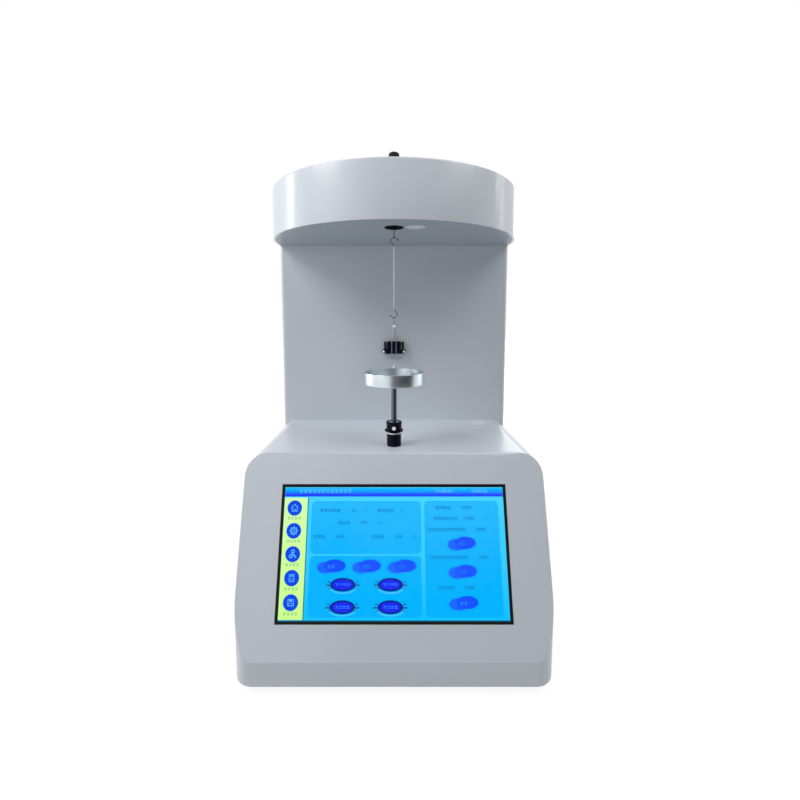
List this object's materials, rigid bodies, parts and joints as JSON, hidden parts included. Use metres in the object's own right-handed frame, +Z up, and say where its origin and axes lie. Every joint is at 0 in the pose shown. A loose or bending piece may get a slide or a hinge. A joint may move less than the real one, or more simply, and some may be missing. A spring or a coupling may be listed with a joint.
{
  "type": "surface tensiometer",
  "caption": "Bench surface tensiometer: slanted touch-screen base, flat column, half-disc balance head, ring on a hook wire, and a motor-lifted dish.",
  "frame": {"origin": "on the bench, under the middle of the base's outline", "axes": "+Z up, +Y to the back, +X to the right as seen from the screen"},
  "size_m": [0.305, 0.29, 0.5215],
  "materials": {
    "case_paint": "satin off-white paint",
    "underside_paint": "satin paint in shade",
    "rear_paint": "satin off-white paint",
    "plate_steel": "dark painted steel",
    "zinc_steel": "zinc plated",
    "screen_black": "matt black",
    "screen_picture": "lit display",
    "screen_glass": "clear glass",
    "level_ring": "white plastic",
    "level_vial": "pale liquid under acrylic",
    "socket_black": "matt black",
    "bright_steel": "polished",
    "bushing_black": "black anodised",
    "lamp_white": "opal",
    "board_green": "solder mask",
    "bush_brass": "turned",
    "frame_aluminium": "milled",
    "magnet_grey": "machined",
    "ground_steel": "ground",
    "motor_black": "black",
    "post_steel": "plated",
    "supply_case": "folded sheet",
    "inlet_black": "moulded",
    "pin_steel": "plated",
    "rod_steel": "dark ground steel",
    "dish_aluminium": "brushed",
    "hanger_white": "moulded",
    "coil_copper": "enamelled copper",
    "wire_steel": "drawn",
    "platinum": "platinum",
    "knob_black": "moulded",
    "foot_rubber": "moulded",
    "rocker_black": "moulded"
  },
  "bodies": {
    "case": {"base_shell": "case_paint", "base_plate": "plate_steel", "foot_nuts": "zinc_steel", "rear_panel": "rear_paint", "column_shell": "case_paint", "column_cover": "rear_paint", "head_shell": "case_paint", "head_plate": "underside_paint", "head_cover": "rear_paint", "case_screws": "zinc_steel", "screen_bezel": "screen_black", "lcd_panel": "screen_picture", "touch_glass": "screen_glass", "bubble_body": "level_ring", "bubble_vial": "level_vial", "probe_socket": "socket_black", "probe_screws": "bright_steel", "park_hook": "bright_steel", "hook_bushing": "bushing_black", "lamp_lens": "lamp_white", "lamp_board": "board_green", "knob_bush": "bush_brass", "balance_bracket": "frame_aluminium", "magnet_pot": "magnet_grey", "guide_sleeve": "bushing_black", "sleeve_nut": "zinc_steel", "lift_frame": "frame_aluminium", "guide_rods": "ground_steel", "lift_motor": "motor_black", "screw_bearing": "ground_steel", "controller_board": "board_green", "board_posts": "post_steel", "power_supply": "supply_case", "mains_inlet": "inlet_black", "inlet_pins": "pin_steel", "switch_frame": "inlet_black", "serial_socket": "pin_steel"},
    "stage": {"stage_rod": "rod_steel", "stage_collar": "bushing_black", "collar_insert": "bright_steel", "collar_screw": "bright_steel", "lift_carriage": "frame_aluminium", "lift_nut": "bush_brass"},
    "dish": {"sample_dish": "dish_aluminium"},
    "screw": {"lead_screw": "ground_steel", "shaft_coupling": "frame_aluminium", "motor_shaft": "ground_steel"},
    "hanger": {"coil_hanger": "hanger_white", "force_coil": "coil_copper", "balance_hook": "wire_steel"},
    "wire": {"suspension_wire": "wire_steel"},
    "ring": {"platinum_ring": "platinum"},
    "knob": {"lock_knob": "knob_black"},
    "pin": {"lock_pin": "bright_steel"},
    "foot_fl": {"foot_front_left": "foot_rubber"},
    "foot_fr": {"foot_front_right": "foot_rubber"},
    "foot_rl": {"foot_rear_left": "foot_rubber"},
    "foot_rr": {"foot_rear_right": "foot_rubber"},
    "rocker": {"power_rocker": "rocker_black"},
    "drawer": {"fuse_drawer": "inlet_black"}
  },
  "joints": [
    {"name": "stage_lift", "type": "slide", "parent": "case", "child": "stage", "axis": [0, 0, 1], "range_m": [0, 0.018]},
    {"name": "screw_spin", "type": "hinge", "parent": "case", "child": "screw", "pos_m": [0, -0.034, 0.15], "axis": [0, 0, 1], "range_deg": [0, 3240.01]},
    {"name": "dish_lift_off", "type": "slide", "parent": "stage", "child": "dish", "axis": [0, 0, 1], "range_m": [0, 0.003]},
    {"name": "hanger_float", "type": "slide", "parent": "case", "child": "hanger", "axis": [0, 0, 1], "range_m": [-0.0005, 0.0005], "stiffness_N_per_m": 600},
    {"name": "wire_swing", "type": "hinge", "parent": "hanger", "child": "wire", "pos_m": [0, -0.054, 0.4355], "axis": [0, 1, 0], "range_deg": [-6, 6]},
    {"name": "ring_swing", "type": "hinge", "parent": "wire", "child": "ring", "pos_m": [0, -0.054, 0.3519], "axis": [1, 0, 0], "range_deg": [-8, 8]},
    {"name": "knob_turn", "type": "hinge", "parent": "case", "child": "knob", "pos_m": [0, -0.054, 0.51], "axis": [0, 0, 1], "range_deg": [-360.1, 0]},
    {"name": "pin_travel", "type": "slide", "parent": "case", "child": "pin", "axis": [0, 0, 1], "range_m": [-0.0017, 0]},
    {"name": "foot_fl_turn", "type": "hinge", "parent": "case", "child": "foot_fl", "pos_m": [-0.1205, -0.115, 0.01], "axis": [0, 0, 1], "range_deg": [-720, 720]},
    {"name": "foot_fr_turn", "type": "hinge", "parent": "case", "child": "foot_fr", "pos_m": [0.1205, -0.115, 0.01], "axis": [0, 0, 1], "range_deg": [-720, 720]},
    {"name": "foot_rl_turn", "type": "hinge", "parent": "case", "child": "foot_rl", "pos_m": [-0.1205, 0.115, 0.01], "axis": [0, 0, 1], "range_deg": [-720, 720]},
    {"name": "foot_rr_turn", "type": "hinge", "parent": "case", "child": "foot_rr", "pos_m": [0.1205, 0.115, 0.01], "axis": [0, 0, 1], "range_deg": [-720, 720]},
    {"name": "rocker_tilt", "type": "hinge", "parent": "case", "child": "rocker", "pos_m": [-0.05, 0.1365, 0.068], "axis": [1, 0, 0], "range_deg": [0, 24]},
    {"name": "drawer_pull", "type": "slide", "parent": "case", "child": "drawer", "axis": [0, 1, 0], "range_m": [0, 0.012]}
  ],
  "couplings": [
    {"joint": "screw_spin", "follows": "stage_lift", "rad_per_m": 3141.6},
    {"joint": "knob_turn", "follows": "pin_travel", "rad_per_m": 3696}
  ]
}
